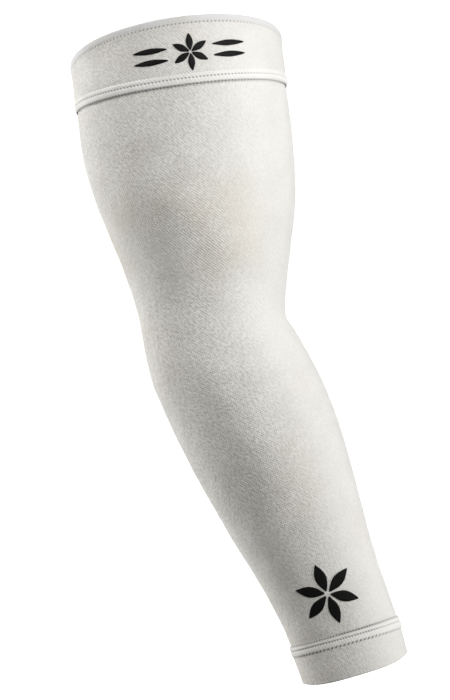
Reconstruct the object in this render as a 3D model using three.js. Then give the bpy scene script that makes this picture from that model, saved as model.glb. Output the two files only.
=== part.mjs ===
// A knitted compression sleeve for the arm, with the shape that it has when it is worn: a
// seamless tube from the middle of the upper arm to the wrist, a doubled cuff sewn on at each
// end, and a turned elastic hem at the top. Millimetres, +Z up. The origin is the centre of the
// upper opening, where the arm goes in, and the upper arm hangs straight down from it. The
// forearm is bent towards +X, the crook's side, and reaches a little towards the viewer at -Y.
import * as THREE from "three";

// Lengths along the arm
const UPPER_ARM_LENGTH = 165; // middle of the upper opening to elbow
const FOREARM_LENGTH = 227; // elbow to the lower edge
const UPPER_CUFF_HEIGHT = 35.5; // middle of the upper opening to the cuff seam's lower edge
const LOWER_CUFF_HEIGHT = 23.5; // cuff seam's upper edge to the lower edge
const HEM_HEIGHT = 4.2;
const SEAM_WIDTH = 6.4;
const RIM_DROP = 7.2; // the rim's sides lie this far below the middle of the upper opening
const RIM_ARCH = 12; // the rim stands this much higher at the front and back than at the sides
const RIM_SLANT = 1.7; // and this much higher on the crook's side than on the elbow's
const UPPER_SEAM_ARCH = 1.3; // the seam under the upper cuff bows up like the rim
const UPPER_SEAM_SLANT = 0.8; // and is this much lower on the crook's side
const EDGE_ARCH = 3; // the lower edge hangs this much lower at the front and back
const LOWER_SEAM_SLANT = 2.4; // the seam above the wrist is this much lower on the crook's side

// Girths of the arm inside the sleeve: width is seen from the front, depth from the side
const UPPER_ARM_WIDTH = 125;
const UPPER_ARM_DEPTH = 112;
const ELBOW_WIDTH = 87;
const ELBOW_DEPTH = 85;
const FOREARM_WIDTH = 91.5;
const FOREARM_DEPTH = 86;
const WRIST_WIDTH = 62;
const WRIST_DEPTH = 52;

// Pose of the arm, degrees
const ELBOW_BEND = 15.5;
const FOREARM_REACH = 8;

// Cloth and thread
const BODY_WALL = 1.2;
const CUFF_WALL = 2;
const HEM_WALL = 2.5;
const RIDGE_RISE = 0.7; // the cloth puffs up this much between two rows of stitches
const SEWING_GAP = 0.3; // between two pieces that are sewn together
const PRINT_THICKNESS = 0.4;

// Printed rosettes and strokes
const CUFF_ROSETTE_DIAMETER = 21;
const WRIST_ROSETTE_DIAMETER = 35;
const PETALS = 6;
const STROKE_LENGTH = 19;
const STROKE_WIDTH = 3;
const STROKE_SPACING = 6.5;
const CUFF_PRINT_TURN = 82; // degrees round the arm from the crook
const WRIST_PRINT_TURN = 91;
const CUFF_PRINT_DROP = 2.5; // below the middle of the upper cuff
const WRIST_PRINT_HEIGHT = 48; // above the lower edge

// How finely the surfaces are cut
const AROUND = 40;
const BODY_ROWS = 28;
const RIDGE_STEPS = 3; // for each quarter of a seam's width
const LEAF_ROWS = 7;

const SLEEVE_LENGTH = UPPER_ARM_LENGTH + FOREARM_LENGTH;
const UPPER_SEAM_TOP = UPPER_CUFF_HEIGHT - SEAM_WIDTH;
const LOWER_SEAM_TOP = SLEEVE_LENGTH - LOWER_CUFF_HEIGHT;

const WHITE_KNIT = new THREE.MeshStandardMaterial({ color: 0xdedcd5, roughness: 0.9, metalness: 0 });
const CUFF_KNIT = new THREE.MeshStandardMaterial({ color: 0xe0ded8, roughness: 0.88, metalness: 0 });
const HEM_ELASTIC = new THREE.MeshStandardMaterial({ color: 0xd2d1ce, roughness: 0.8, metalness: 0 });
const SEAM_KNIT = new THREE.MeshStandardMaterial({ color: 0xe6e4de, roughness: 0.85, metalness: 0 });
const BLACK_PRINT = new THREE.MeshStandardMaterial({ color: 0x0f0e0d, roughness: 0.55, metalness: 0 });

const UPPER = { start: 0, length: UPPER_ARM_LENGTH };
const FORE = { start: UPPER_ARM_LENGTH, length: FOREARM_LENGTH };
const ARM = { width: UPPER_ARM_WIDTH, depth: UPPER_ARM_DEPTH };
const ELBOW = { width: ELBOW_WIDTH, depth: ELBOW_DEPTH };
const MUSCLE = { width: FOREARM_WIDTH, depth: FOREARM_DEPTH };
const WRIST = { width: WRIST_WIDTH, depth: WRIST_DEPTH };

// Sections of the arm, from the rim to the lower edge. along is a share of the limb's length,
// width and depth are shares of the named girth, bend and reach of the two angles, shift of the
// girth's width towards the crook. lobe rounds a section towards three corners, as muscles do.
const SECTIONS = table(
  ["limb", "along", "girth", "width", "depth", "bend", "reach", "shift", "lobe"],
  [UPPER, 0.0, ARM, 0.985, 0.98, 0, 0, 0.002, 0.004],
  [UPPER, 0.2, ARM, 0.99, 1.0, 0, 0, -0.003, 0.006],
  [UPPER, 0.38, ARM, 0.99, 0.99, 0, 0, -0.006, 0.01],
  [UPPER, 0.52, ARM, 0.955, 0.955, 0, 0, 0, 0.014],
  [UPPER, 0.66, ARM, 0.885, 0.9, 0, 0, 0.008, 0.016],
  [UPPER, 0.8, ARM, 0.79, 0.83, 0, 0.05, 0.009, 0.016],
  [UPPER, 0.92, ELBOW, 1.03, 1.02, 0, 0.25, 0.007, 0.014],
  [FORE, 0.0, ELBOW, 0.985, 0.99, 0.1, 0.55, 0.0, 0.012],
  [FORE, 0.06, ELBOW, 0.978, 0.99, 0.55, 0.85, -0.012, 0.012],
  [FORE, 0.12, MUSCLE, 0.965, 0.99, 1.02, 1, -0.015, 0.016],
  [FORE, 0.2, MUSCLE, 0.985, 1.0, 1.07, 1, -0.008, 0.02],
  [FORE, 0.31, MUSCLE, 0.985, 0.985, 1.03, 1, 0, 0.022],
  [FORE, 0.44, MUSCLE, 0.935, 0.92, 0.99, 1, 0.002, 0.02],
  [FORE, 0.57, MUSCLE, 0.845, 0.82, 0.98, 1, 0.002, 0.016],
  [FORE, 0.7, MUSCLE, 0.748, 0.715, 1.0, 1, 0, 0.01],
  [FORE, 0.81, WRIST, 1.02, 1.06, 0.98, 1, 0, 0.006],
  [FORE, 0.9, WRIST, 1.0, 1.0, 0.66, 1, 0, 0.003],
  [FORE, 1.0, WRIST, 0.96, 0.97, 0.55, 1, 0, 0],
).map((row) => ({
  ...row,
  distance: row.limb.start + row.along * row.limb.length,
  halfWidth: (row.width * row.girth.width) / 2,
  halfDepth: (row.depth * row.girth.depth) / 2,
  offset: row.shift * row.girth.width,
}));

// Rows of a table, each with its values under the names of the columns.
function table(names, ...rows) {
  return rows.map((row) => Object.fromEntries(names.map((name, i) => [name, row[i]])));
}

const SQUARENESS = 0.025; // how much fuller than an ellipse a section is at its diagonals
const LOBE_TURN = 100; // one of the three corners faces this way, just behind the viewer's side

// One column of the sections at a distance along the arm, on a smooth curve through the rows.
function column(name, distance) {
  const last = SECTIONS.length - 1;
  let i = 0;
  while (i < last - 1 && distance > SECTIONS[i + 1].distance) i += 1;
  const near = [Math.max(i - 1, 0), i, i + 1, Math.min(i + 2, last)];
  const [before, from, to, after] = near.map((k) => SECTIONS[k]);
  const span = to.distance - from.distance;
  const t = THREE.MathUtils.clamp((distance - from.distance) / span, 0, 1);
  const slopeFrom = ((to[name] - before[name]) / (to.distance - before.distance)) * span;
  const slopeTo = ((after[name] - from[name]) / (after.distance - from.distance)) * span;
  return (
    from[name] * (1 + 2 * t) * (1 - t) ** 2 +
    slopeFrom * t * (1 - t) ** 2 +
    to[name] * t * t * (3 - 2 * t) -
    slopeTo * t * t * (1 - t)
  );
}

// Directions of a section: down the arm, towards the crook and towards the front.
function directions(distance) {
  const bend = THREE.MathUtils.degToRad(ELBOW_BEND * column("bend", distance));
  const reach = THREE.MathUtils.degToRad(FOREARM_REACH * column("reach", distance));
  const down = new THREE.Vector3(
    Math.sin(bend) * Math.cos(reach),
    -Math.sin(reach),
    -Math.cos(bend) * Math.cos(reach),
  );
  const crook = new THREE.Vector3(Math.cos(bend), 0, Math.sin(bend));
  return { down, crook, front: down.clone().cross(crook) };
}

// The arm's centre line, as points a millimetre apart.
const CENTRE_LINE = [new THREE.Vector3()];
for (let distance = 0.5; distance < SLEEVE_LENGTH; distance += 1) {
  CENTRE_LINE.push(CENTRE_LINE.at(-1).clone().add(directions(distance).down));
}

function centreAt(distance) {
  const i = THREE.MathUtils.clamp(Math.floor(distance), 0, CENTRE_LINE.length - 1);
  return CENTRE_LINE[i].clone().addScaledVector(directions(distance).down, distance - i);
}

// A section's outline in its own plane, at an angle round the arm: 0 is the crook, 90 the front.
function outline(distance, turn) {
  const fullness =
    1 +
    (SQUARENESS * (1 - Math.cos(4 * turn))) / 2 +
    column("lobe", distance) * Math.cos(3 * (turn - THREE.MathUtils.degToRad(LOBE_TURN)));
  return new THREE.Vector2(
    column("halfWidth", distance) * Math.cos(turn) * fullness + column("offset", distance),
    column("halfDepth", distance) * Math.sin(turn) * fullness,
  );
}

// A point on the arm, or out millimetres away from its skin.
function onArm(distance, turn, out) {
  const step = 0.01;
  const along = outline(distance, turn + step).sub(outline(distance, turn - step));
  const outwards = new THREE.Vector2(along.y, -along.x).normalize();
  const flat = outline(distance, turn).addScaledVector(outwards, out);
  const { crook, front } = directions(distance);
  return centreAt(distance).addScaledVector(crook, flat.x).addScaledVector(front, flat.y);
}

// How far the skin runs for each radian of turn.
function skinPerTurn(distance, turn) {
  const step = 0.01;
  return onArm(distance, turn + step, 0).distanceTo(onArm(distance, turn - step, 0)) / (2 * step);
}

// A closed band round the arm. loop lists its wall's outline, down the outer face and back up
// the inner one, each point a function of the turn that gives its distance and how far out it is.
function band(name, loop, material) {
  const positions = [];
  const indices = [];
  for (let i = 0; i < AROUND; i += 1) {
    const turn = (i / AROUND) * 2 * Math.PI;
    for (const corner of loop) {
      const { distance, out } = corner(turn);
      positions.push(...onArm(distance, turn, out).toArray());
    }
  }
  for (let i = 0; i < AROUND; i += 1) {
    for (let j = 0; j < loop.length; j += 1) {
      const nextTurn = (i + 1) % AROUND;
      const nextCorner = (j + 1) % loop.length;
      const [a, b, c, d] = [
        i * loop.length + j,
        i * loop.length + nextCorner,
        nextTurn * loop.length + nextCorner,
        nextTurn * loop.length + j,
      ];
      indices.push(a, c, b, a, d, c);
    }
  }
  return namedMesh(name, positions, indices, material);
}

function namedMesh(name, positions, indices, material) {
  const geometry = new THREE.BufferGeometry();
  geometry.setAttribute("position", new THREE.Float32BufferAttribute(positions, 3));
  geometry.setIndex(indices);
  geometry.computeVertexNormals();
  const mesh = new THREE.Mesh(geometry, material);
  mesh.name = name;
  return mesh;
}

// Evenly spaced numbers from one end to the other, both included.
function steps(from, to, count) {
  return Array.from({ length: count + 1 }, (_, i) => from + ((to - from) * i) / count);
}

// How far the rim bows up round the arm, as a share of its arch: 0 at the sides, 1 at the front
// and back, and a little below 0 just behind the sides.
const bow = (turn) => Math.sin(turn) + 2 * Math.min(Math.sin(turn), 0) ** 2;
const rimAt = (turn) => RIM_DROP - RIM_ARCH * bow(turn) - (RIM_SLANT * Math.cos(turn)) / 2;
const upperSeamAt = (turn) =>
  UPPER_SEAM_TOP - UPPER_SEAM_ARCH * bow(turn) + (UPPER_SEAM_SLANT * Math.cos(turn)) / 2;

// How far the lower edge draws up round the arm, as a share of its arch: 1 more at the sides
// than at the front and back, and nothing on average.
const arch = (turn) => Math.cos(turn) ** 4 - 3 / 8;
const edgeAt = (turn) => SLEEVE_LENGTH - EDGE_ARCH * arch(turn);
const lowerSeamAt = (turn) => LOWER_SEAM_TOP + (LOWER_SEAM_SLANT * Math.cos(turn)) / 2;

// The tube of single knit, under both cuff seams.
function sleeveBody() {
  const shares = steps(0, 1, BODY_ROWS);
  const placed = (share, out) => (turn) => ({
    distance: THREE.MathUtils.lerp(upperSeamAt(turn), lowerSeamAt(turn) + SEAM_WIDTH, share),
    out,
  });
  const outer = shares.map((share) => placed(share, BODY_WALL));
  const inner = shares.map((share) => placed(share, 0)).reverse();
  return band("sleeve_body", [...outer, ...inner], WHITE_KNIT);
}

// A doubled cuff between two edges, given as functions of the turn. A folded end is rounded.
function cuff(name, topAt, endAt, foldedEnd) {
  const shares = steps(0, 1, 4);
  const rounding = foldedEnd ? CUFF_WALL / 3 : 0;
  const placed = (share, out) => (turn) => ({
    distance: THREE.MathUtils.lerp(topAt(turn), endAt(turn) - rounding, share),
    out,
  });
  const outer = shares.map((share) => placed(share, CUFF_WALL));
  const inner = shares.map((share) => placed(share, 0)).reverse();
  const fold = [0.8, 0.2].map((share) => (turn) => ({ distance: endAt(turn), out: share * CUFF_WALL }));
  return band(name, [...outer, ...(foldedEnd ? fold : []), ...inner], CUFF_KNIT);
}

// The turned hem along the rim, a flattened roll.
function upperHem() {
  const middle = HEM_HEIGHT / 2;
  const corners = steps(0, 2 * Math.PI, 12).slice(0, -1);
  const loop = corners.map((angle) => (turn) => ({
    distance: rimAt(turn) + middle - middle * Math.sign(Math.cos(angle)) * Math.abs(Math.cos(angle)) ** 0.6,
    out: HEM_WALL / 2 + (HEM_WALL / 2) * Math.sign(Math.sin(angle)) * Math.abs(Math.sin(angle)) ** 0.6,
  }));
  return band("upper_hem", loop, HEM_ELASTIC);
}

// A cuff seam: two puffed ridges between rows of stitches, lapped over the end of the tube.
function cuffSeam(name, topAt) {
  const lap = BODY_WALL + SEWING_GAP;
  const outer = steps(0, 1, 4 * RIDGE_STEPS).map((share) => (turn) => ({
    distance: topAt(turn) + share * SEAM_WIDTH,
    out: CUFF_WALL + RIDGE_RISE * Math.abs(Math.sin(2 * Math.PI * share)) ** 0.8,
  }));
  const inner = [1, 0.5, 0].map((share) => (turn) => ({
    distance: topAt(turn) + share * SEAM_WIDTH,
    out: lap,
  }));
  return band(name, [...outer, ...inner], SEAM_KNIT);
}

// One printed leaf, pointed at both ends. It lies on the cloth round a middle given as a
// distance and a turn; start and length place it along a line at the angle lean from the arm.
function leaf(name, middle, start, length, width, lean, sideways, cloth) {
  const rows = steps(0, 1, LEAF_ROWS).slice(1, -1);
  const perTurn = skinPerTurn(middle.distance, middle.turn);
  const place = (share, side, out) => {
    const run = start + share * length;
    const off = sideways + (side * width * Math.sin(Math.PI * share)) / 2;
    const round = run * Math.sin(lean) + off * Math.cos(lean);
    const down = -run * Math.cos(lean) + off * Math.sin(lean);
    return onArm(middle.distance + down, middle.turn - round / perTurn, out).toArray();
  };
  const low = cloth + SEWING_GAP;
  const high = low + PRINT_THICKNESS;
  const positions = [];
  const indices = [];
  for (const out of [high, low]) {
    positions.push(...place(0, 0, out));
    for (const share of rows) {
      for (const side of [-1, 0, 1]) positions.push(...place(share, side, out));
    }
    positions.push(...place(1, 0, out));
  }
  const perFace = rows.length * 3 + 2;
  const tip = perFace - 1;
  const at = (row, side) => 1 + row * 3 + side;
  const lastRow = rows.length - 1;
  const face = [];
  for (const side of [0, 1]) {
    face.push([0, at(0, side), at(0, side + 1)]);
    for (let row = 0; row < lastRow; row += 1) {
      face.push([at(row, side), at(row + 1, side), at(row + 1, side + 1)]);
      face.push([at(row, side), at(row + 1, side + 1), at(row, side + 1)]);
    }
    face.push([at(lastRow, side), tip, at(lastRow, side + 1)]);
  }
  for (const [a, b, c] of face) {
    indices.push(a, c, b);
    indices.push(perFace + a, perFace + b, perFace + c);
  }
  const rim = [0];
  for (let row = 0; row <= lastRow; row += 1) rim.push(at(row, 0));
  rim.push(tip);
  for (let row = lastRow; row >= 0; row -= 1) rim.push(at(row, 2));
  rim.forEach((a, i) => {
    const b = rim[(i + 1) % rim.length];
    indices.push(a, b, perFace + b, a, perFace + b, perFace + a);
  });
  return namedMesh(name, positions, indices, BLACK_PRINT);
}

// A rosette of six pointed petals, as drawn with a pair of compasses.
function rosette(prefix, middle, diameter, cloth) {
  const hub = diameter * 0.05;
  const length = diameter / 2 - hub;
  const width = diameter * 0.17;
  return Array.from({ length: PETALS }, (_, i) =>
    leaf(`${prefix}_petal_${i + 1}`, middle, hub, length, width, (i * 2 * Math.PI) / PETALS, 0, cloth),
  );
}

// Two pointed strokes on each side of the cuff's rosette.
function cuffStrokes(middle) {
  const clear = CUFF_ROSETTE_DIAMETER * 0.62;
  const strokes = [];
  for (const [side, lean] of [["left", -Math.PI / 2], ["right", Math.PI / 2]]) {
    for (const row of [-1, 1]) {
      const name = `cuff_stroke_${side}_${row < 0 ? 1 : 2}`;
      const sideways = (row * STROKE_SPACING) / 2;
      strokes.push(leaf(name, middle, clear, STROKE_LENGTH, STROKE_WIDTH, lean, sideways, CUFF_WALL));
    }
  }
  return strokes;
}

const sleeve = new THREE.Group();
sleeve.name = "arm_sleeve";

const upperCuffTop = (turn) => rimAt(turn) + HEM_HEIGHT + SEWING_GAP;
const upperCuffEnd = (turn) => upperSeamAt(turn) - SEWING_GAP;
const lowerCuffTop = (turn) => lowerSeamAt(turn) + SEAM_WIDTH + SEWING_GAP;
sleeve.add(
  sleeveBody(),
  upperHem(),
  cuff("upper_cuff", upperCuffTop, upperCuffEnd, false),
  cuffSeam("upper_seam", upperSeamAt),
  cuffSeam("lower_seam", lowerSeamAt),
  cuff("lower_cuff", lowerCuffTop, edgeAt, true),
);

const cuffTurn = THREE.MathUtils.degToRad(CUFF_PRINT_TURN);
const cuffPrint = {
  distance: (upperCuffTop(cuffTurn) + upperCuffEnd(cuffTurn)) / 2 + CUFF_PRINT_DROP,
  turn: cuffTurn,
};
const wristPrint = {
  distance: SLEEVE_LENGTH - WRIST_PRINT_HEIGHT,
  turn: THREE.MathUtils.degToRad(WRIST_PRINT_TURN),
};
sleeve.add(...rosette("cuff", cuffPrint, CUFF_ROSETTE_DIAMETER, CUFF_WALL), ...cuffStrokes(cuffPrint));
sleeve.add(...rosette("wrist", wristPrint, WRIST_ROSETTE_DIAMETER, BODY_WALL));

export default sleeve;
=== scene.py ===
"""The looks of a knitted compression sleeve for the arm, in its worn shape.

Metres, +Z up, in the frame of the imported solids: the origin is the centre of the upper opening,
the forearm bends towards +X and the printed front faces -Y.
"""

import math
from collections import namedtuple

import bpy
import numpy as np
from mathutils import Matrix, Vector, noise


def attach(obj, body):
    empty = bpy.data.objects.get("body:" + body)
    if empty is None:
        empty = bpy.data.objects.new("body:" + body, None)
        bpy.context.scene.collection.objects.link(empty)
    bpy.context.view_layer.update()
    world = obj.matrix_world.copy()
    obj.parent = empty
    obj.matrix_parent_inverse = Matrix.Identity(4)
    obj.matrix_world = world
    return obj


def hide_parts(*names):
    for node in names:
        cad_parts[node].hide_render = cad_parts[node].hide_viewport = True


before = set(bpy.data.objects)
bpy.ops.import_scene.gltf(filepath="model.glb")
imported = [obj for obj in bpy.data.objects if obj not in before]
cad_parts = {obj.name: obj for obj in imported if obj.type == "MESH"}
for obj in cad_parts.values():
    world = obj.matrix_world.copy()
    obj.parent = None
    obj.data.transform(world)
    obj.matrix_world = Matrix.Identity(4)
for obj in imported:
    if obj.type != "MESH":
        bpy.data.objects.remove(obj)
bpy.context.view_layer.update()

# Sizes of the sleeve, as in the solids
UPPER_ARM_LENGTH = 0.165
FOREARM_LENGTH = 0.227
SLEEVE_LENGTH = UPPER_ARM_LENGTH + FOREARM_LENGTH
UPPER_CUFF_HEIGHT = 0.0355
LOWER_CUFF_HEIGHT = 0.0235
HEM_HEIGHT = 0.0042
SEAM_WIDTH = 0.0064
RIM_DROP = 0.0072
RIM_ARCH = 0.012
RIM_SLANT = 0.0017
UPPER_SEAM_ARCH = 0.0013
UPPER_SEAM_SLANT = 0.0008
EDGE_ARCH = 0.003
LOWER_SEAM_SLANT = 0.0024
UPPER_SEAM_TOP = UPPER_CUFF_HEIGHT - SEAM_WIDTH
LOWER_SEAM_TOP = SLEEVE_LENGTH - LOWER_CUFF_HEIGHT
ELBOW_BEND = math.radians(15.5)
FOREARM_REACH = math.radians(8)
BODY_WALL = 0.0012
CUFF_WALL = 0.002
HEM_WALL = 0.0025
SEWING_GAP = 0.0003
TUCK = 0.0004
SQUARENESS = 0.025
LOBE_TURN = math.radians(100)

# Width and depth of the arm at its named girths
ARM = (0.125, 0.112)
ELBOW = (0.087, 0.085)
MUSCLE = (0.0915, 0.086)
WRIST = (0.062, 0.052)

# Where each limb starts, and its length
UPPER = (0.0, UPPER_ARM_LENGTH)
FORE = (UPPER_ARM_LENGTH, FOREARM_LENGTH)

# Sections of the arm: limb, share along it, girth, shares of its width and depth, shares of the
# bend and the reach, shift as a share of the width, and how far it is rounded to three corners
Section = namedtuple("Section", "limb along girth width depth bend reach shift lobe")
SECTIONS = (
    Section(UPPER, 0.0, ARM, 0.985, 0.98, 0, 0, 0.002, 0.004),
    Section(UPPER, 0.2, ARM, 0.99, 1.0, 0, 0, -0.003, 0.006),
    Section(UPPER, 0.38, ARM, 0.99, 0.99, 0, 0, -0.006, 0.01),
    Section(UPPER, 0.52, ARM, 0.955, 0.955, 0, 0, 0, 0.014),
    Section(UPPER, 0.66, ARM, 0.885, 0.9, 0, 0, 0.008, 0.016),
    Section(UPPER, 0.8, ARM, 0.79, 0.83, 0, 0.05, 0.009, 0.016),
    Section(UPPER, 0.92, ELBOW, 1.03, 1.02, 0, 0.25, 0.007, 0.014),
    Section(FORE, 0.0, ELBOW, 0.985, 0.99, 0.1, 0.55, 0.0, 0.012),
    Section(FORE, 0.06, ELBOW, 0.978, 0.99, 0.55, 0.85, -0.012, 0.012),
    Section(FORE, 0.12, MUSCLE, 0.965, 0.99, 1.02, 1, -0.015, 0.016),
    Section(FORE, 0.2, MUSCLE, 0.985, 1.0, 1.07, 1, -0.008, 0.02),
    Section(FORE, 0.31, MUSCLE, 0.985, 0.985, 1.03, 1, 0, 0.022),
    Section(FORE, 0.44, MUSCLE, 0.935, 0.92, 0.99, 1, 0.002, 0.02),
    Section(FORE, 0.57, MUSCLE, 0.845, 0.82, 0.98, 1, 0.002, 0.016),
    Section(FORE, 0.7, MUSCLE, 0.748, 0.715, 1.0, 1, 0, 0.01),
    Section(FORE, 0.81, WRIST, 1.02, 1.06, 0.98, 1, 0, 0.006),
    Section(FORE, 0.9, WRIST, 1.0, 1.0, 0.66, 1, 0, 0.003),
    Section(FORE, 1.0, WRIST, 0.96, 0.97, 0.55, 1, 0, 0),
)
DISTANCES = np.array([s.limb[0] + s.along * s.limb[1] for s in SECTIONS])
COLUMNS = {
    "half_width": np.array([s.width * s.girth[0] / 2 for s in SECTIONS]),
    "half_depth": np.array([s.depth * s.girth[1] / 2 for s in SECTIONS]),
    "bend": np.array([s.bend for s in SECTIONS], float),
    "reach": np.array([s.reach for s in SECTIONS], float),
    "offset": np.array([s.shift * s.girth[0] for s in SECTIONS]),
    "lobe": np.array([s.lobe for s in SECTIONS], float),
}


def column(name, distance):
    """One column of the sections at distances along the arm, on a smooth curve through them."""
    values = COLUMNS[name]
    last = len(DISTANCES) - 1
    i = np.clip(np.searchsorted(DISTANCES, distance, side="left") - 1, 0, last - 1)
    before = np.maximum(i - 1, 0)
    after = np.minimum(i + 2, last)
    span = DISTANCES[i + 1] - DISTANCES[i]
    t = np.clip((distance - DISTANCES[i]) / span, 0, 1)
    slope_from = (values[i + 1] - values[before]) / (DISTANCES[i + 1] - DISTANCES[before]) * span
    slope_to = (values[after] - values[i]) / (DISTANCES[after] - DISTANCES[i]) * span
    return (
        values[i] * (1 + 2 * t) * (1 - t) ** 2
        + slope_from * t * (1 - t) ** 2
        + values[i + 1] * t * t * (3 - 2 * t)
        - slope_to * t * t * (1 - t)
    )


def directions(distance):
    """Down the arm, towards the crook and towards the front, at each distance."""
    bend = ELBOW_BEND * column("bend", distance)
    reach = FOREARM_REACH * column("reach", distance)
    down = np.stack([np.sin(bend) * np.cos(reach), -np.sin(reach), -np.cos(bend) * np.cos(reach)], -1)
    crook = np.stack([np.cos(bend), np.zeros_like(bend), np.sin(bend)], -1)
    return down, crook, np.cross(down, crook)


CENTRE_STEP = 0.001
steps_down = directions(np.arange(CENTRE_STEP / 2, SLEEVE_LENGTH, CENTRE_STEP))[0] * CENTRE_STEP
CENTRE_LINE = np.concatenate([np.zeros((1, 3)), np.cumsum(steps_down, 0)])

# Small steps of turn and of height, for working out slopes
TURN_STEP = 0.01
OUT_STEP = 0.001


def outline(distance, turn):
    """A section's outline in its own plane: turn 0 is the crook, a quarter turn the front."""
    fullness = (
        1
        + SQUARENESS * (1 - np.cos(4 * turn)) / 2
        + column("lobe", distance) * np.cos(3 * (turn - LOBE_TURN))
    )
    return np.stack(
        [
            column("half_width", distance) * np.cos(turn) * fullness + column("offset", distance),
            column("half_depth", distance) * np.sin(turn) * fullness,
        ],
        -1,
    )


def on_arm(distance, turn, out):
    """Points on the arm, or out metres away from its skin."""
    distance, turn, out = np.broadcast_arrays(
        np.asarray(distance, float), np.asarray(turn, float), np.asarray(out, float)
    )
    along = outline(distance, turn + TURN_STEP) - outline(distance, turn - TURN_STEP)
    outwards = np.stack([along[..., 1], -along[..., 0]], -1)
    outwards /= np.linalg.norm(outwards, axis=-1, keepdims=True)
    flat = outline(distance, turn) + outwards * out[..., None]
    down, crook, front = directions(distance)
    i = np.clip((distance / CENTRE_STEP).astype(int), 0, len(CENTRE_LINE) - 1)
    centre = CENTRE_LINE[i] + down * (distance - i * CENTRE_STEP)[..., None]
    return centre + crook * flat[..., :1] + front * flat[..., 1:]


def bow(turn):
    """How far the rim bows up, as a share of its arch: 0 at the sides, 1 in front and behind."""
    return np.sin(turn) + 2 * np.minimum(np.sin(turn), 0) ** 2


def rim_at(turn):
    return RIM_DROP - RIM_ARCH * bow(turn) - RIM_SLANT * np.cos(turn) / 2


def upper_seam_at(turn):
    return UPPER_SEAM_TOP - UPPER_SEAM_ARCH * bow(turn) + UPPER_SEAM_SLANT * np.cos(turn) / 2


def edge_at(turn):
    return SLEEVE_LENGTH - EDGE_ARCH * (np.cos(turn) ** 4 - 3 / 8)


def lower_seam_at(turn):
    return LOWER_SEAM_TOP + LOWER_SEAM_SLANT * np.cos(turn) / 2


# Modelling

# How far apart in the noise one seed is from the next
NOISE_SHIFT = (7.3, 3.1, 5.7)


def soft_noise(points, size, seed):
    """Smooth noise from -1 to 1 at each point, with forms of about the given size."""
    place = Vector([seed * shift for shift in NOISE_SHIFT])
    flat = points.reshape(-1, 3) / size
    values = [noise.noise(Vector(p) + place) for p in flat]
    return np.array(values).reshape(points.shape[:-1])


def unevenness(distance, turn, forms):
    """Soft noise on the arm's skin in a few sizes. forms lists each one's height, size and seed."""
    skin = on_arm(distance, turn, 0)
    return sum(height * soft_noise(skin, size, seed) for height, size, seed in forms)


def soft_step(value, low, high):
    """From 0 at low to 1 at high, smooth between them and level beyond."""
    share = np.clip((value - low) / (high - low), 0, 1)
    return share * share * (3 - 2 * share)


def fading(away, reach):
    """1 on a line, about a third at the reach from it and almost nothing at twice the reach."""
    return np.exp(-((away / reach) ** 2))


def rounded(value, power):
    return np.sign(value) * np.abs(value) ** power


def select_only(piece):
    bpy.ops.object.select_all(action="DESELECT")
    piece.select_set(True)
    bpy.context.view_layer.objects.active = piece


def finish_mesh(piece, merge):
    """Merge what meets, turn the faces outwards and smooth them."""
    select_only(piece)
    bpy.ops.object.mode_set(mode="EDIT")
    bpy.ops.mesh.select_all(action="SELECT")
    bpy.ops.mesh.remove_doubles(threshold=merge)
    bpy.ops.mesh.normals_make_consistent(inside=False)
    bpy.ops.object.mode_set(mode="OBJECT")
    bpy.ops.object.shade_smooth()


def join_pieces(name, pieces):
    """One piece from several."""
    select_only(pieces[0])
    for piece in pieces[1:]:
        piece.select_set(True)
    if len(pieces) > 1:
        bpy.ops.object.join()
    joined = bpy.context.view_layer.objects.active
    joined.name = joined.data.name = name
    finish_mesh(joined, merge=1e-7)
    return joined


def cloth_grid(name, across, along):
    """A flat sheet of so many faces each way, ready to be wrapped, and each point's shares of it."""
    bpy.ops.object.select_all(action="DESELECT")
    bpy.ops.mesh.primitive_grid_add(
        x_subdivisions=across, y_subdivisions=along, size=2, calc_uvs=True, location=(0, 0, 0)
    )
    sheet = bpy.context.object
    sheet.name = sheet.data.name = name
    sheet.data.uv_layers.active.name = "Cloth"
    spots = np.empty(len(sheet.data.vertices) * 3)
    sheet.data.vertices.foreach_get("co", spots)
    spots = (spots.reshape(-1, 3)[:, :2] + 1) / 2
    return sheet, spots


def set_points(piece, points):
    piece.data.vertices.foreach_set("co", points.ravel())
    piece.data.update()


def set_uv(piece, name, values):
    """Set one UV map from a pair of values at each vertex."""
    layers = piece.data.uv_layers
    layer = layers.get(name) or layers.new(name=name)
    corners = np.empty(len(piece.data.loops), int)
    piece.data.loops.foreach_get("vertex_index", corners)
    layer.data.foreach_set("uv", values[corners].ravel())


def arc_lengths(spots, points):
    """How far each vertex lies round the arm from the middle of the front."""
    order = np.lexsort((spots[:, 0], spots[:, 1]))
    columns = len(np.unique(np.round(spots[:, 0], 6)))
    rows = points[order].reshape(-1, columns, 3)
    steps = np.linalg.norm(np.diff(rows, axis=1), axis=2)
    arcs = np.concatenate([np.zeros((len(rows), 1)), np.cumsum(steps, 1)], 1)
    arcs -= arcs[:, columns // 2][:, None]
    lengths = np.empty(len(points))
    lengths[order] = arcs.ravel()
    return lengths


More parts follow.
